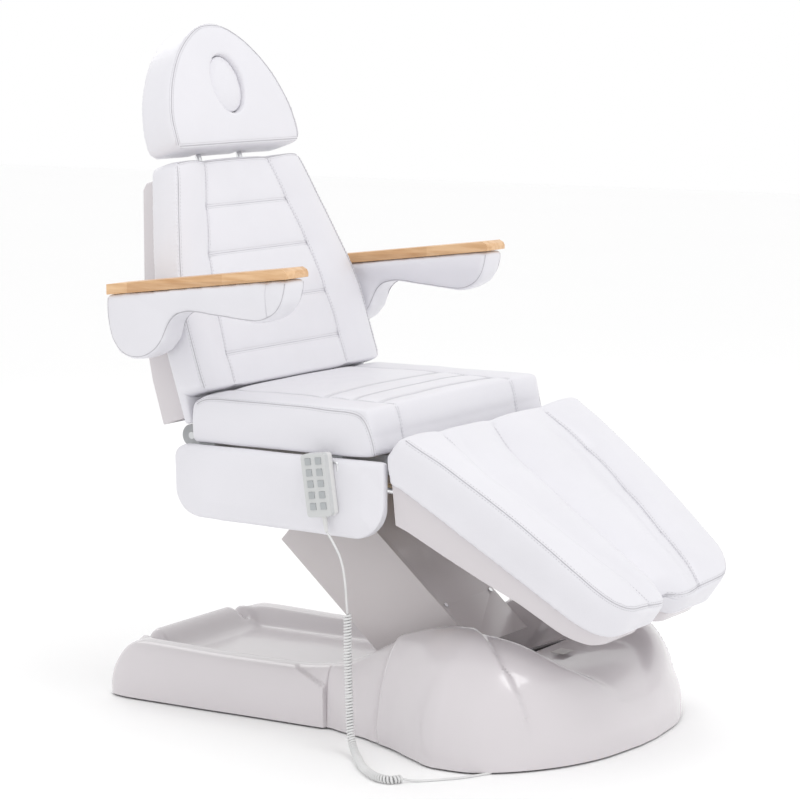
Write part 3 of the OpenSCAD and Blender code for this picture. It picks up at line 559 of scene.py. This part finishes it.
def upholster(name, node, body, place, seams, shape, seed, voxel=0.0036, passes=6,
              stitched=True):
    """A cushion from its CAD solid: rounded, crowned between its seams, and sewn.

    seams is a list of (points, depth, reach): the line in the cushion's frame, how deep it
    pulls the cover in, and how far that reaches. Welts go on seams deeper than GROOVE_DEPTH
    only, and stitched=False leaves their stitches out."""
    mesh = modified(welded(node), "REMESH", mode="VOXEL", voxel_size=voxel)
    edges = np.array([e.vertices[:] for e in mesh.edges])
    co = relaxed(points_of(mesh), edges, passes)
    set_points(mesh, co)
    local, normal = place.into(co), normals_of(mesh) @ place.axes
    lines = [curve_through(points, SEAM_STEP) for points, _, _ in seams]
    puff = np.zeros(len(local))
    for line, (_, depth, reach) in zip(lines, seams):
        puff -= depth * np.exp(-line_distance(local, line) / reach)
    puff += 0.0007 * ripple(local, 0.11, seed)
    moved = local + normal * puff[:, None] + shape(local, normal)
    moved_world = relaxed(place.out(moved), edges, 1, 0.4)
    set_points(mesh, moved_world)
    obj = placed(name, mesh, "white_leatherette", body, node)
    sewn = [(line, "seam" if reach < LANE_REACH else "lane")
            for line, (_, depth, reach) in zip(lines, seams) if depth > GROOVE_DEPTH]
    stitch(name, mesh, local, moved_world, sewn, body, stitched)


def stitch(name, mesh, local, world, lines, body, stitched):
    """A fine welt along each seam, grey as painted shade for its crease, and a row of stitches on
    both sides of it.
    """
    tree = BVHTree.FromPolygons(world.tolist(), [p.vertices[:] for p in mesh.polygons])
    welts, rows = {"seam": [], "lane": []}, []
    for line, kind in lines:
        shift = [world[np.argmin(((local - p) ** 2).sum(1))] for p in line]
        snapped = [tree.find_nearest(Vector(s)) for s in shift]
        p = relaxed_line(np.array([s[0][:] for s in snapped]))
        fine = curve_through(p, WELT_STEP)
        hits = [tree.find_nearest(Vector(q)) for q in fine]
        fine = np.array([h[0][:] for h in hits]) + PROUD * np.array([h[1][:] for h in hits])
        welts[kind].append(relaxed_line(fine))
        if not stitched:
            continue
        t = np.gradient(fine, axis=0)
        for i in range(1, len(fine) - 1):
            way = t[i] / (np.linalg.norm(t[i]) + 1e-9)
            across = np.cross(way, hits[i][1])
            for s in (-1, 1):
                spot = tree.find_nearest(Vector(fine[i] + s * STITCH_ASIDE * across))
                centre = np.array(spot[0][:]) + PROUD * np.array(spot[1][:])
                rows.append(centre + way * STITCH_POINTS[:, None])
    # The welts, grey as painted shade for the seams' creases.
    for kind, radius in WELT_RADIUS.items():
        if welts[kind]:
            tubes(name + "_" + kind, welts[kind], radius, kind, body, WELT_SIDES)
    # The stitches, in a thread grey that is partly painted shade along the seams.
    if rows:
        tubes(name + "_stitches", rows, STITCH_RADIUS, "thread", body, STITCH_SIDES, True)


def relaxed_line(p):
    p = p.copy()
    for _ in range(3):
        p[1:-1] += 0.5 * ((p[:-2] + p[2:]) / 2 - p[1:-1])
    return p


def bell(v, middle, width):
    return np.exp(-((v - middle) / width) ** 2)


def ease(v):
    c = np.clip(v, 0, 1)
    return c * c * (3 - 2 * c)


def facing(normal_part, start=0.2):
    """1 where a face looks the given way, easing to 0 as it turns aside."""
    return ease((normal_part - start) / 0.6)


def seat():
    half, length, thick = 0.32, 0.4, SEAT_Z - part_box("seat_cushion")[0].z
    place = Place((0, SEAT_Y, SEAT_Z - thick))
    inner = 0.213
    seams = []
    for s in (-1, 1):
        x = s * half
        seams.append(([(x, length - 0.01, thick - 0.016), (x, length - 0.03, thick - 0.003),
                       (x, 0.2, thick - 0.002), (x, 0.05, thick - 0.004),
                       (x, 0.014, thick - 0.012), (x, 0.003, thick - 0.028),
                       (x, 0.001, 0.02), (x, 0.001, 0.003)], 0.004, 0.010))
        x = s * inner
        seams.append(([(x, length - 0.03, thick), (x, 0.2, thick), (x, 0.02, thick),
                       (x, 0.004, thick - 0.008), (x, 0.0, thick - 0.03), (x, 0.0, 0.004)],
                      0.005, 0.012))
    for y in (0.165, 0.103, 0.042):
        seams.append(([(-inner, y, thick), (0, y, thick), (inner, y, thick)], 0.0045, 0.012))
    seams.append(([(-half, 0.002, 0.003), (0, 0.002, 0.003), (half, 0.002, 0.003)], 0.003, 0.008))

    def shape(co, normal):
        top = facing(normal[:, 2])
        crown = (1 - (co[:, 0] / half) ** 2) * bell(co[:, 1], 0.17, 0.24)
        out = np.zeros_like(co)
        out[:, 2] = top * (0.009 * crown + 0.001)
        side = np.abs(normal[:, 0]) * bell(co[:, 2], thick / 2, 0.03)
        out[:, 0] = np.sign(co[:, 0]) * side * 0.004
        front = ease(-normal[:, 1]) * bell(co[:, 2], thick * 0.55, 0.03)
        out[:, 1] = -front * 0.006 * (1 - 0.3 * (co[:, 0] / half) ** 2)
        skirt = np.interp(co[:, 2], (0, 0.016, 0.04, 0.075, 0.09),
                          (0.019, 0.017, 0.007, 0.002, 0))
        out[:, 1] -= skirt * ease((0.03 - co[:, 1]) / 0.03)
        return out

    upholster("seat_pad", "seat_cushion", "seat", place, seams, shape, seed=3)


def back_half(u):
    """Half width of the back at height u."""
    return np.interp(u, [0, 0.165, 0.235, 0.462], [0.32, 0.32, 0.302, 0.215])


def back_inner(u):
    """Distance from the middle of the seam beside each wing, at height u."""
    return np.interp(u, [0, 0.13, 0.225, 0.29, 0.36, 0.398, 0.462],
                     [0.2, 0.198, 0.184, 0.166, 0.141, 0.130, 0.104])


def back():
    seams = []
    heights = np.linspace(0.012, 0.452, 12)
    for s in (-1, 1):
        seams.append(([(s * (back_half(u) - 0.009), 0.0, u) for u in heights], 0.004, 0.010))
        seams.append(([(s * back_inner(u), 0.0, u) for u in heights], 0.007, 0.013))
    for u in (0.366, 0.271, 0.168, 0.074):
        x = back_inner(u)
        seams.append(([(-x, 0, u), (0, 0, u), (x, 0, u)], 0.004, 0.012))
    x = back_half(0.452) - 0.012
    seams.append(([(-x, 0.001, 0.456), (0, 0.001, 0.456), (x, 0.001, 0.456)], 0.003, 0.009))

    def shape(co, normal):
        face = facing(-normal[:, 1])
        a = np.abs(co[:, 0])
        inner, half = back_inner(co[:, 2]), back_half(co[:, 2])
        bolster = bell(a, (inner + half) / 2 + 0.01, (half - inner) * 0.42)
        out = np.zeros_like(co)
        out[:, 1] = -face * (0.010 * bolster + 0.001)
        side = np.abs(normal[:, 0]) * bell(co[:, 1], 0.03, 0.022)
        out[:, 0] = np.sign(co[:, 0]) * side * 0.004
        return out

    upholster("back_pad", "back_cushion", "back", BACK, seams, shape, seed=5)


HEAD_W, HEAD_H = 0.434, 0.258
HEAD_BEND = 0.044  # height at which the headrest's sides start to round over
HEAD_EDGE = 0.006  # from the outline to its seam
PLUG_U, PLUG_W, PLUG_H = 0.129, 0.102, 0.116


def head_half(v):
    """Half width of the headrest at height v."""
    reach = max(0.0, 1 - max(0.0, (v - HEAD_BEND) / (HEAD_H - HEAD_BEND)) ** 1.65)
    return HEAD_W / 2 * reach ** (1 / 1.8)


def oval(u0, width, height, depth):
    return [(width / 2 * math.cos(a), depth, u0 + height / 2 * math.sin(a))
            for a in np.linspace(0, 2 * math.pi, 29)]


def headrest():
    rise = [HEAD_BEND + (HEAD_H - HEAD_EDGE - HEAD_BEND) * math.sin(math.radians(5 * i))
            for i in range(18)]
    right = [(head_half(v) - HEAD_EDGE, 0.0, v) for v in [0.008, 0.02] + rise]
    arch = right + [(0, 0, HEAD_H - HEAD_EDGE)] + [(-x, n, v) for x, n, v in reversed(right)]
    x = HEAD_W / 2 - 0.012
    seams = [(arch, 0.004, 0.009),
             ([(-x, 0.001, 0.006), (0, 0.001, 0.006), (x, 0.001, 0.006)], 0.004, 0.009),
             (oval(PLUG_U, PLUG_W + 0.006, PLUG_H + 0.006, 0.0), 0.0014, 0.005)]

    def shape(co, normal):
        face = facing(-normal[:, 1])
        out = np.zeros_like(co)
        out[:, 1] = -face * 0.006 * bell(co[:, 2], 0.11, 0.12) * bell(co[:, 0], 0, 0.17)
        return out

    upholster("headrest_pad", "headrest_cushion", "headrest", HEAD, seams, shape, seed=7,
              voxel=0.004)

    def dome(co, normal):
        face = facing(-normal[:, 1])
        r = np.hypot(co[:, 0] / (PLUG_W / 2), (co[:, 2] - PLUG_U) / (PLUG_H / 2))
        out = np.zeros_like(co)
        out[:, 1] = -face * (0.009 * (1 - r ** 2) - 0.0015)
        return out

    rim = [(oval(PLUG_U, PLUG_W - 0.014, PLUG_H - 0.014, 0.002), 0.0015, 0.005)]
    upholster("face_plug_pad", "face_plug", "plug", HEAD, rim, dome, seed=8, voxel=0.003,
              passes=5)


LEG_TIP, LOBE = 0.545, 0.098  # length to the lobes' ends, and their radius


def leg_half(d):
    """Half width of the leg rest at distance d from its hinge."""
    return 0.330 - 0.1696 * (d - 0.036)


def lane(d):
    """Distance from the middle of the seam beside each lane, at distance d from the hinge."""
    return np.interp(d, [0.05, 0.17, 0.354, 0.528, 0.56],
                     [0.193, 0.203, 0.160, 0.107, 0.098])


def leg_outline():
    """The top edge of one side, from the hinge round the lobe to the notch."""
    tip = LEG_TIP - LOBE
    middle = leg_half(tip) - LOBE
    arc = [(middle + LOBE * math.cos(a), -(tip + LOBE * math.sin(a)))
           for a in np.linspace(0, math.pi / 2, 9)]
    return [(leg_half(d), -d) for d in (0.042, 0.1, 0.2, 0.3, 0.4)] + arc + [
        (0.12, -0.5445), (0.07, -0.5445), (0.034, -0.537), (0.014, -0.520)]


def leg_rest():
    seams = []
    along = [0.05, 0.12, 0.2, 0.3, 0.4, 0.47, 0.515, 0.540]
    for s in (-1, 1):
        seams.append(([(s * x, y, LEG_TOP - 0.003) for x, y in leg_outline()], 0.004, 0.008))
        seams.append(([(s * lane(d), -d, LEG_TOP) for d in along], 0.0095, 0.0125))
        for d in (0.16, 0.28, 0.40):
            seams.append(([(s * 0.012, -d, LEG_TOP), (s * lane(d), -d, LEG_TOP)], 0.0014, 0.012))
    seams.append(([(0, -d, LEG_TOP) for d in along[:-1]], 0.012, 0.015))

    def shape(co, normal):
        a, d, h = np.abs(co[:, 0]), -co[:, 1], co[:, 2]
        top = ease((h - 0.070) / 0.03)
        width = lane(d)
        bolster = bell(a, (width + leg_half(d)) / 2 + 0.012, 0.06)
        lanes = bell(a, width * 0.52, width * 0.30)
        start = ease((d - 0.02) / 0.10)
        rise = 0.3 + 0.7 * bell(d, 0.28, 0.19)
        fall = ease((d - 0.475) / 0.08)
        out = np.zeros_like(co)
        out[:, 2] = top * (0.012 * ease((a - width + 0.012) / 0.05) * rise * start
                           + 0.006 * bolster
                           - 0.011 * ease((width + 0.012 - a) / 0.05) * start
                           + 0.012 * lanes * start
                           - 0.010 * bell(a, 0, 0.035) * start
                           - 0.012 * bell(a, 0, 0.05) * fall
                           - 0.010 * fall)
        side = np.abs(normal[:, 0]) * bell(h, 0.086, 0.02)
        out[:, 0] = np.sign(co[:, 0]) * side * 0.003
        return out

    upholster("leg_pad", "leg_cushion", "leg_rest", LEG, seams, shape, seed=11, passes=5)


APRON_CORNER = 0.070  # radius of the corners, but for the smaller one at the rear's top
APRON_TOP_CORNER = 0.036


def aprons():
    for side, node, name in ((-1, "apron_right", "apron_pad_right"),
                             (1, "apron_left", "apron_pad_left")):
        low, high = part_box(node)
        place = Place(((low.x + high.x) / 2, 0, 0))

        def shape(co, normal):
            face = facing(np.abs(normal[:, 0]), 0.3)
            ring = np.minimum.reduce([co[:, 1] - low.y, high.y - co[:, 1], co[:, 2] - low.z,
                                      high.z + 0.02 - co[:, 2]])
            out = np.zeros_like(co)
            out[:, 0] = np.sign(co[:, 0]) * face * (0.006 * ease(ring / 0.05) - 0.001)
            out *= (np.sign(co[:, 0]) == side)[:, None]
            for y, z, r, down in ((low.y, low.z, APRON_CORNER, 1),
                                  (high.y, low.z + 0.006, APRON_CORNER, 1),
                                  (high.y, high.z, APRON_TOP_CORNER, -1)):
                way = np.array([1 if y < 0 else -1, down])
                centre = np.array([y, z]) + r * way
                off = co[:, 1:] - centre
                far = np.linalg.norm(off, axis=1)
                corner = ((off * way) < 0).all(1) & (far > r)
                out[:, 1:] -= np.where(corner, 1 - r / np.maximum(far, 1e-6), 0)[:, None] * off
            return out

        y0, y1, z0, z1 = low.y, high.y, low.z, high.z
        x = side * ((high.x - low.x) / 2)
        r = APRON_CORNER
        edge = [(x, y, z) for y, z in (
            (y0 + r, z1), (y0 + r * 0.3, z1 - r * 0.45), (y0, z1 - r), (y0, z0 + r),
            (y0 + r * 0.3, z0 + r * 0.3), (y0 + r, z0 + 0.001), (y1 - r, z0 + 0.009),
            (y1 - r * 0.3, z0 + r * 0.35), (y1, z0 + r), (y1, z1 - r),
            (y1 - r * 0.3, z1 - r * 0.4), (y1 - r, z1))]
        upholster(name, node, "seat", place, [(edge, 0.0012, 0.008)], shape, seed=13,
                  voxel=0.0045, passes=5, stitched=False)


# The armrest's lower edge from the rear to the front, in metres: y behind the seat's front
# edge and z above the floor.
ARM_EDGE = [(0.543, 0.828), (0.541, 0.785), (0.532, 0.748), (0.514, 0.724), (0.488, 0.714),
            (0.455, 0.717), (0.429, 0.732), (0.410, 0.755), (0.400, 0.788), (0.380, 0.805),
            (0.350, 0.810), (0.290, 0.806), (0.226, 0.800), (0.196, 0.798), (0.172, 0.804),
            (0.151, 0.817), (0.138, 0.836), (0.130, 0.864), (0.129, 0.876)]
CUFF_Y, CUFF_HEIGHTS = 0.172, (0.876, 0.855, 0.832, 0.808)


def armrests():
    for side, body, node, cap in ((-1, "arm_right", "armrest_right", "arm_cap_right"),
                                  (1, "arm_left", "armrest_left", "arm_cap_left")):
        low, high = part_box(node)
        middle, half = (low.x + high.x) / 2, (high.x - low.x) / 2
        place = Place((middle, SEAT_Y, 0))
        seams = [([(s * (half - 0.002), y, z) for y, z in ARM_EDGE], 0.0035, 0.008)
                 for s in (-1, 1)]
        seams.append(([(side * half, CUFF_Y, z) for z in CUFF_HEIGHTS], 0.0028, 0.0108))

        def shape(co, normal):
            face = facing(np.abs(normal[:, 0]), 0.3)
            out = np.zeros_like(co)
            lobe = bell(co[:, 1], 0.47, 0.055) * bell(co[:, 2], 0.775, 0.05)
            arm = (bell(co[:, 2], 0.842 + (0.3 - co[:, 1]) * 0.05, 0.026)
                   * ease((0.5 - co[:, 1]) / 0.1))
            out[:, 0] = np.sign(co[:, 0]) * face * (0.005 * np.maximum(lobe, arm) - 0.001)
            return out

        upholster(node + "_pad", node, body, place, seams, shape, seed=17, voxel=0.0045,
                  passes=5, stitched=False)
        softened(cap, body, "beech", 0.0025, cap + "_wood")


# ------------------------------------------------------------------- base
# Tables over y, in millimetres behind the seat's front edge, with the front at -424.
# OUTLINE: half width at the floor. RIDGE: height of the crest, and RIDGE_X: its distance from
# the middle. MIDDLE: height on the middle line. LEAF: a line (x, y) on each side of the hood.
OUTLINE = [(-424, 30), (-412, 130), (-396, 190), (-372, 245), (-335, 300), (-290, 345),
           (-240, 372), (-180, 376), (-110, 344), (-40, 302), (15, 278), (40, 266), (110, 246),
           (138, 236), (149, 235), (154, 243), (320, 243), (450, 245), (600, 245), (660, 237),
           (684, 211), (694, 175)]
RIDGE = [(-424, 4), (-418, 62), (-400, 108), (-370, 150), (-320, 186), (-260, 212), (-190, 224),
         (-130, 228), (-60, 214), (0, 190), (60, 158), (120, 132), (180, 118), (250, 113),
         (400, 113), (590, 117), (620, 114), (645, 98), (668, 66), (684, 34), (694, 4)]
MIDDLE = [(-424, 4), (-418, 58), (-400, 100), (-370, 134), (-320, 158), (-240, 164), (-180, 158),
          (-80, 120), (20, 90), (120, 82), (560, 80), (590, 88), (618, 114), (636, 120),
          (658, 92), (680, 46), (694, 4)]
RIDGE_X = [(-424, 12), (-412, 70), (-380, 130), (-300, 190), (-100, 196), (60, 190), (694, 192)]
LEAF = [(229, -206), (267, -253), (282, -287), (289, -310), (293, -325), (297, -331)]
RIM = 4.0  # height of the skin's lower edge
SHELL_STRIPS = ((-360, -24, 60), (-24, 26, 30), (26, 142, 20), (142, 160, 14), (160, 262, 36),
                (262, 584, 56))  # from y, to y and rows, between the two rounded ends
FRONT_ROWS, REAR_ROWS = 23, 21
SHELL_COLUMNS = 161
NOTCH_Y, NOTCH_X, NOTCH_Z = 600, 148, 84  # the notches in the rear rim
LEAF_DEPTH, LEAF_REACH = 9, 42
CREASE_Y = 3
SKIN = 0.004
OPENING = (-0.107, -0.192, 0.05), (0.107, 0.150, 0.30)  # for the column, from the seat's edge


def through(table, y):
    """A smooth curve through a few points: monotone cubic interpolation."""
    x, v = np.array(table, float).T
    slope = np.diff(v) / np.diff(x)
    m = np.concatenate([[slope[0]], (slope[:-1] + slope[1:]) / 2, [slope[-1]]])
    flat = slope[:-1] * slope[1:] <= 0
    m[1:-1][flat] = 0
    cap = 3 * np.minimum(np.abs(slope[:-1]), np.abs(slope[1:]))
    m[1:-1] = np.clip(m[1:-1], -cap, cap)
    i = np.clip(np.searchsorted(x, y) - 1, 0, len(x) - 2)
    h = x[i + 1] - x[i]
    t = (y - x[i]) / h
    return ((2 * t ** 3 - 3 * t ** 2 + 1) * v[i] + (t ** 3 - 2 * t ** 2 + t) * h * m[i]
            + (3 * t ** 2 - 2 * t ** 3) * v[i + 1] + (t ** 3 - t ** 2) * h * m[i + 1])


def shell_surface():
    """Points of the base's skin on a grid, in millimetres from the seat's front edge."""
    front = -360 - 64 * np.cos(np.linspace(0, math.pi / 2, FRONT_ROWS))
    strips = [np.linspace(a, b, n)[1:] for a, b, n in SHELL_STRIPS]
    end = 590 + 104 * np.sin(np.linspace(0, math.pi / 2, REAR_ROWS))
    y = np.concatenate([front, *strips, end])
    s = np.sin(np.linspace(-math.pi / 2, math.pi / 2, SHELL_COLUMNS))
    y, s = np.meshgrid(y, s, indexing="ij")
    w, h, c, r = (through(t, y) for t in (OUTLINE, RIDGE, MIDDLE, RIDGE_X))
    a = np.abs(s) * w
    rear = ease((y - 60) / 90)
    q = np.clip((a - r) / (w - r), 0, 1)
    dome = (1 - q ** 1.9) ** (1 / 1.9)
    wing = (1 - q ** 5) ** (1 / 3)
    dip = ease((y - NOTCH_Y) / 12) * np.exp(-((a - NOTCH_X) / 11) ** 2)
    h = h - np.maximum(h - NOTCH_Z, 0) * dip
    c = c - np.maximum(c - NOTCH_Z, 0) * dip
    slope = 70 - 32 * rear
    inner = c + (h - c) * ease((a - r + slope) / slope)
    outer = RIM + (h - RIM) * (dome * (1 - rear) + wing * rear)
    z = np.where(a <= r, inner, outer)
    z = np.where(np.abs(s) > 0.9999, RIM, z)
    return np.stack([s * w, y, np.maximum(z, RIM)], -1)


def base_shell():
    """The base's skin with its relief, thickened and opened for the column."""
    grid = shell_surface()
    n = np.cross(np.gradient(grid, axis=1), np.gradient(grid, axis=0))
    n /= np.linalg.norm(n, axis=2)[..., None] + 1e-9
    n *= np.sign(n[..., 2:3] + 1e-6)
    flat = grid.reshape(-1, 3)
    co = np.stack([np.abs(flat[:, 0]), flat[:, 1], np.zeros(len(flat))], 1)
    # A step along LEAF: the skin is lower on the side of the nose, and less so further away.
    line = np.array([(x, y, 0) for x, y in LEAF], float)
    reach = line_distance(co, line)
    nearest = np.argmin(((co[:, None, :2] - line[None, :, :2]) ** 2).sum(2), 1)
    way = np.gradient(line[:, :2], axis=0)[nearest]
    beside = way[:, 0] * (co[:, 1] - line[nearest, 1]) - way[:, 1] * (co[:, 0] - line[nearest, 0])
    on_nose = ease(-beside / np.linalg.norm(way, axis=1) / 6 + 0.5)
    span = ease((flat[:, 2] - 40) / 60)
    step = on_nose * np.exp(-reach / LEAF_REACH) * span * -LEAF_DEPTH
    # A crease across the sides at CREASE_Y: proud in front of it, sunk at it.
    outer = ease((co[:, 0] - through(RIDGE_X, co[:, 1])) / 22)
    past = flat[:, 1] - CREASE_Y
    nose = 15 * (1 - np.exp(np.minimum(past, 0) / 6)) * np.exp(np.minimum(past, 0) / 60)
    neck = -9 * np.exp(-np.maximum(past, 0) / 9) * np.exp(np.minimum(past, 0) / 3)
    crease = (nose + neck) * outer * ease((flat[:, 2] + 6) / 40)
    # The wing's front end: a blade that stands proud of the neck, its top curling down.
    curl = np.interp(flat[:, 1], (150, 154, 195, 253), (0, 84, 100, 119))
    behind = (ease((flat[:, 2] - curl) / 4 + 0.5) * ease((flat[:, 1] - 148) / 4)
              * ease((262 - flat[:, 1]) / 30))
    flat[:, 0] -= np.sign(flat[:, 0]) * 8 * behind * ease((co[:, 0] - 200) / 20)
    flat = flat + n.reshape(-1, 3) * (step + crease)[:, None]
    flat[:, 2] = np.maximum(flat[:, 2], RIM)
    rows, k = grid.shape[:2]
    faces = [[i * k + j, i * k + j + 1, (i + 1) * k + j + 1, (i + 1) * k + j]
             for i in range(rows - 1) for j in range(k - 1)]
    mesh = bpy.data.meshes.new("shell")
    mesh.from_pydata(BED.out(flat / 1000).tolist(), [], faces)
    mesh.update()
    mesh = modified(mesh, "SOLIDIFY", thickness=SKIN, offset=-1)
    low, high = (Vector((x, SEAT_Y + y, z)) for x, y, z in OPENING)
    cutter = bpy.data.objects.new("cutter", bpy.data.meshes.new("cutter"))
    bm = bmesh.new()
    bmesh.ops.create_cube(bm, size=1, matrix=Matrix.Translation((low + high) / 2)
                          @ Matrix.Diagonal((*(high - low), 1)))
    bm.to_mesh(cutter.data)
    bm.free()
    bpy.context.collection.objects.link(cutter)
    mesh = modified(mesh, "BOOLEAN", operation="DIFFERENCE", object=cutter, solver="EXACT")
    bpy.data.objects.remove(cutter)
    placed("base_moulding", mesh, "moulded_shell", "base", "base_shell")
    mesh.set_sharp_from_angle(angle=math.radians(40))


# ----------------------------------------------------------------- studio
def light(name, energy, location, target, size):
    data = bpy.data.lights.new(name, "AREA")
    data.energy = energy
    data.shape = "SQUARE"
    data.size = size
    lamp = bpy.data.objects.new(name, data)
    bpy.context.collection.objects.link(lamp)
    lamp.location = location
    aim = Vector(target) - Vector(location)
    lamp.rotation_euler = aim.to_track_quat("-Z", "Y").to_euler()


def studio():
    bpy.ops.mesh.primitive_plane_add(size=30, location=(0, 0, 0))
    floor = bpy.context.object
    floor.name = "floor"
    p = Paint("floor", (0.985, 0.985, 0.985), 0.7)
    p.tinted(p.noise(0.7), 0.004)
    floor.data.materials.append(p.material)
    world = bpy.data.worlds.new("studio")
    bpy.context.scene.world = world
    world.use_nodes = True
    background = world.node_tree.nodes["Background"]
    background.inputs["Color"].default_value = (1, 1, 1, 1)
    background.inputs["Strength"].default_value = 1.0
    light("key", 34, (-1.0, -2.2, 4.3), (0, -0.1, 0.6), 1.6)
    light("rim", 14, (1.6, 2.6, 3.0), (0, 0, 0.7), 1.8)
    bpy.context.scene.view_settings.view_transform = "Standard"


camera()
dress_cad()
cords()
seat()
back()
headrest()
leg_rest()
aprons()
armrests()
base_shell()
softened("column_cover", "lift_arm", "column_plastic", 0.003)
softened("leg_shell", "leg_rest", "moulded_shell", 0.003)
softened("back_shell", "back", "moulded_shell", 0.004)
softened("handset_back", "handset", "handset_grey", 0.0012)
studio()
